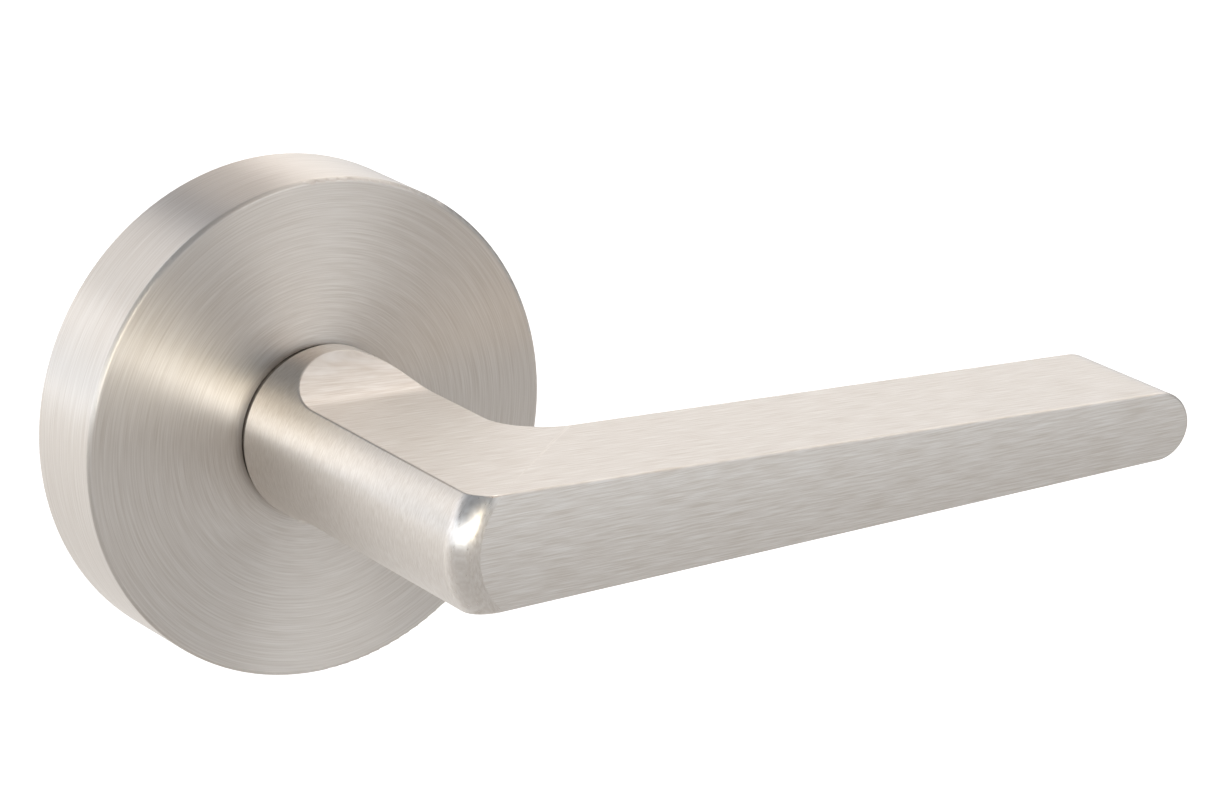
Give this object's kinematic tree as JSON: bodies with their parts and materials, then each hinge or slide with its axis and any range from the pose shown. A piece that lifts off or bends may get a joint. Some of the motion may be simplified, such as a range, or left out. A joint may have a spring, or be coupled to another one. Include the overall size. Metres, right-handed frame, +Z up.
{
  "type": "door lever handle",
  "caption": "Sprung door lever on a round rose, with a square spindle, bolt-through fixing posts and a concealed return spring.",
  "frame": {"origin": "on the spindle axis in the plane of the rose's door face", "axes": "+Y into the door along the spindle, -Y out of the door towards the user, +X along the grip, +Z up"},
  "size_m": [0.1283, 0.1056, 0.065],
  "materials": {
    "satin_nickel": "fine brushed satin nickel plate",
    "zinc_casting": "as-cast zinc alloy",
    "zinc_plated_steel": "bright zinc plate",
    "spring_steel": "oiled black spring steel",
    "white_nylon": "natural nylon",
    "black_nylon": "black nylon",
    "foam": "closed-cell foam"
  },
  "bodies": {
    "rose": {"rose_cover": "satin_nickel", "cover_snap_ring": "spring_steel", "rose_body": "zinc_casting", "bearing_bush": "white_nylon", "spring_sleeve": "black_nylon", "return_spring": "spring_steel", "back_plate": "zinc_plated_steel", "back_plate_screws": "zinc_plated_steel", "fixing_posts": "zinc_plated_steel", "wood_screws": "zinc_plated_steel", "door_gasket": "foam"},
    "handle": {"lever": "satin_nickel", "grub_screw": "spring_steel", "spindle": "zinc_plated_steel", "shoulder_washer": "black_nylon", "spring_driver": "zinc_plated_steel", "thrust_washer": "white_nylon", "wave_washer": "spring_steel", "retaining_ring": "spring_steel"}
  },
  "joints": [
    {"name": "lever_turn", "type": "hinge", "parent": "rose", "child": "handle", "pos_m": [0, 0, 0], "axis": [0, 1, 0], "range_deg": [-50, 50], "stiffness_Nm_per_rad": 1.5, "springref_deg": -2.86, "deforming": ["return_spring"]}
  ]
}
